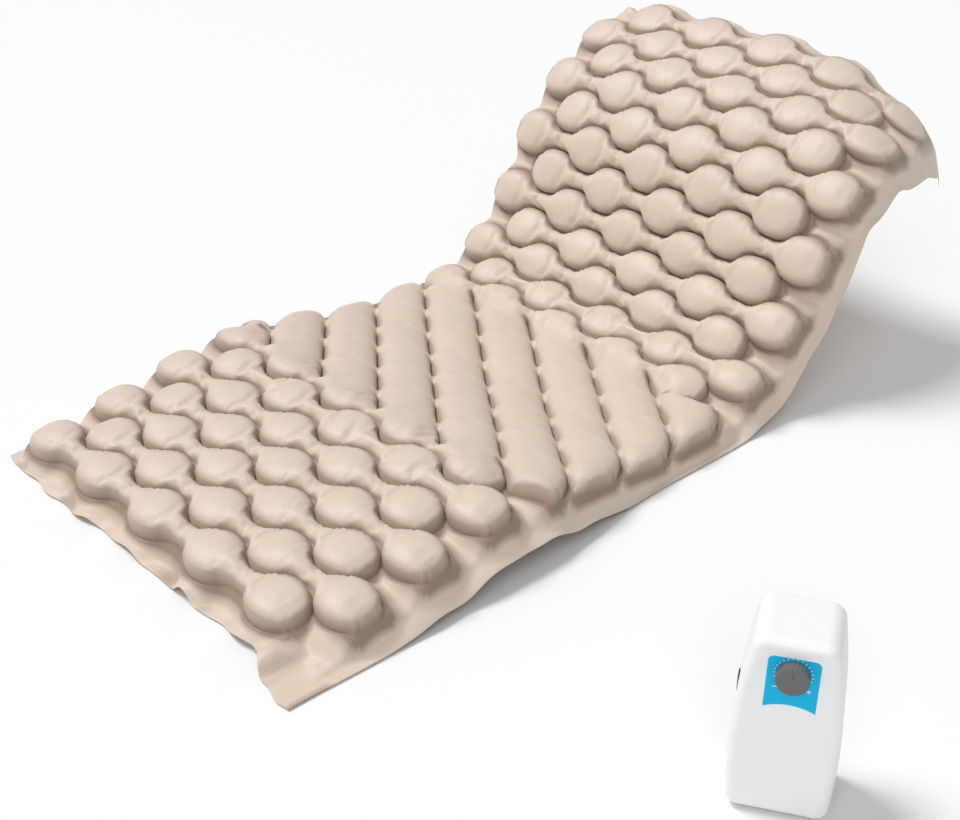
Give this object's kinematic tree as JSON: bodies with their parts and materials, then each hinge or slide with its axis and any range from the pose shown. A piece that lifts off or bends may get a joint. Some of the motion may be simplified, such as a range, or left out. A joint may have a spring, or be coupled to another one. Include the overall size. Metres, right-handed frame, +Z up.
{
  "type": "pressure relief mattress",
  "caption": "Alternating air pad of staggered welded bubble cells, knees and back raised, with its upright pump: pressure knob, side switch, folding hooks.",
  "frame": {"origin": "on the floor under the middle of the pad's seat section", "axes": "+X from the foot of the pad to its head, +Y to its far side, +Z up"},
  "size_m": [1.5835, 1.4778, 0.5286],
  "materials": {
    "pad_film": "soft satin PVC film",
    "flap_film": "soft satin PVC film, two layers welded",
    "hose_port": "translucent soft PVC",
    "case_white": "fine satin moulded ABS",
    "label_cyan": "printed satin polyester",
    "dial_white": "printed white",
    "knob_grey": "fine matte moulded",
    "black_plastic": "matte moulded",
    "nylon": "natural nylon",
    "steel": "zinc plated",
    "core_steel": "varnished laminations",
    "copper": "enamelled copper winding",
    "magnet": "sintered ferrite",
    "rubber_black": "matte rubber",
    "silicone": "translucent silicone tube",
    "board_green": "solder mask",
    "glass_fuse": "clear glass"
  },
  "bodies": {
    "seat_section": {"seat_top_sheet": "pad_film", "seat_bottom_sheet": "pad_film"},
    "thigh_section": {"thigh_top_sheet": "pad_film", "thigh_bottom_sheet": "pad_film"},
    "leg_section": {"leg_top_sheet": "pad_film", "leg_bottom_sheet": "pad_film", "foot_flap": "flap_film", "hose_port_a": "hose_port", "hose_port_b": "hose_port"},
    "lumbar_lower_section": {"lumbar_lower_top_sheet": "pad_film", "lumbar_lower_bottom_sheet": "pad_film"},
    "lumbar_upper_section": {"lumbar_upper_top_sheet": "pad_film", "lumbar_upper_bottom_sheet": "pad_film"},
    "back_section": {"back_top_sheet": "pad_film", "back_bottom_sheet": "pad_film"},
    "shoulder_section": {"shoulder_top_sheet": "pad_film", "shoulder_bottom_sheet": "pad_film"},
    "head_section": {"head_top_sheet": "pad_film", "head_bottom_sheet": "pad_film", "head_flap": "flap_film"},
    "pump": {"front_shell": "case_white", "rear_shell": "case_white", "front_label": "label_cyan", "dial_scale": "dial_white", "regulator_body": "nylon", "power_switch_body": "black_plastic", "cord_gland": "rubber_black", "hose_nipple_a": "nylon", "hose_nipple_b": "nylon", "pump_chassis": "steel", "rubber_isolators": "rubber_black", "magnet_core": "core_steel", "coil_windings": "copper", "arm_pivot_pins": "steel", "diaphragm_left": "rubber_black", "diaphragm_right": "rubber_black", "valve_chamber_left": "black_plastic", "valve_chamber_right": "black_plastic", "distributor_motor": "steel", "distributor_housing": "nylon", "distributor_cover": "nylon", "supply_tube_left": "silicone", "supply_tube_right": "silicone", "outlet_tube_a": "silicone", "outlet_tube_b": "silicone", "circuit_board": "board_green", "fuse": "glass_fuse", "case_screws": "steel", "rubber_feet": "rubber_black", "filter_cap": "case_white"},
    "knob": {"pressure_knob": "knob_grey", "regulator_stem": "nylon"},
    "rocker": {"power_rocker": "black_plastic"},
    "hook_l": {"hook_left": "case_white"},
    "hook_r": {"hook_right": "case_white"},
    "valve_rotor": {"valve_disc": "black_plastic"},
    "arm_l": {"swing_arm_left": "steel", "arm_magnet_left": "magnet"},
    "arm_r": {"swing_arm_right": "steel", "arm_magnet_right": "magnet"}
  },
  "joints": [
    {"name": "thigh_raise", "type": "hinge", "parent": "seat_section", "child": "thigh_section", "pos_m": [-0.0969, 0, 0.033], "axis": [0, 1, 0], "range_deg": [-10, 0]},
    {"name": "knee_bend", "type": "hinge", "parent": "thigh_section", "child": "leg_section", "pos_m": [-0.41499, 0, 0.08909], "axis": [0, -1, 0], "range_deg": [-19, 0]},
    {"name": "back_raise", "type": "hinge", "parent": "seat_section", "child": "lumbar_lower_section", "pos_m": [0.0969, 0, 0.033], "axis": [0, -1, 0], "range_deg": [-18, 0]},
    {"name": "lumbar_bend", "type": "hinge", "parent": "lumbar_lower_section", "child": "lumbar_upper_section", "pos_m": [0.21978, 0, 0.07293], "axis": [0, -1, 0], "range_deg": [-26, 0]},
    {"name": "back_bend", "type": "hinge", "parent": "lumbar_upper_section", "child": "back_section", "pos_m": [0.31272, 0, 0.16267], "axis": [0, -1, 0], "range_deg": [-17, 0]},
    {"name": "shoulder_bend", "type": "hinge", "parent": "back_section", "child": "shoulder_section", "pos_m": [0.40667, 0, 0.33218], "axis": [0, -1, 0], "range_deg": [0, 18]},
    {"name": "head_bend", "type": "hinge", "parent": "shoulder_section", "child": "head_section", "pos_m": [0.50116, 0, 0.42029], "axis": [0, -1, 0], "range_deg": [0, 15]},
    {"name": "pump_lift", "type": "slide", "parent": "seat_section", "child": "pump", "axis": [0, 0, 1], "range_m": [0, 0.5]},
    {"name": "pressure_knob_turn", "type": "hinge", "parent": "pump", "child": "knob", "pos_m": [-0.55716, -0.98275, 0.2235], "axis": [0.8616, 0.5075, 0], "range_deg": [-135, 135]},
    {"name": "power_rocker_tilt", "type": "hinge", "parent": "pump", "child": "rocker", "pos_m": [-0.5308, -0.8955, 0.151], "axis": [0.8616, 0.5075, 0], "range_deg": [0, 16]},
    {"name": "hook_left_fold", "type": "hinge", "parent": "pump", "child": "hook_l", "pos_m": [-0.48176, -0.90584, 0.23], "axis": [0.5075, -0.8616, 0], "range_deg": [0, 90]},
    {"name": "hook_right_fold", "type": "hinge", "parent": "pump", "child": "hook_r", "pos_m": [-0.45334, -0.9541, 0.23], "axis": [0.5075, -0.8616, 0], "range_deg": [0, 90]},
    {"name": "valve_disc_turn", "type": "hinge", "parent": "pump", "child": "valve_rotor", "pos_m": [-0.4934, -0.9452, 0.19], "axis": [-0.8616, -0.5075, 0], "continuous": true},
    {"name": "arm_left_swing", "type": "hinge", "parent": "pump", "child": "arm_l", "pos_m": [-0.51757, -0.92781, 0.13], "axis": [-0.8616, -0.5075, 0], "range_deg": [-1.2, 1.2], "stiffness_Nm_per_rad": 3},
    {"name": "arm_right_swing", "type": "hinge", "parent": "pump", "child": "arm_r", "pos_m": [-0.48991, -0.97477, 0.13], "axis": [-0.8616, -0.5075, 0], "range_deg": [-1.2, 1.2], "stiffness_Nm_per_rad": 3}
  ],
  "couplings": [
    {"joint": "knee_bend", "follows": "thigh_raise", "ratio": 1.9},
    {"joint": "lumbar_bend", "follows": "back_raise", "ratio": 1.4444},
    {"joint": "back_bend", "follows": "back_raise", "ratio": 0.94444},
    {"joint": "shoulder_bend", "follows": "back_raise", "ratio": -1},
    {"joint": "head_bend", "follows": "back_raise", "ratio": -0.83333},
    {"joint": "arm_right_swing", "follows": "arm_left_swing", "ratio": -1}
  ]
}
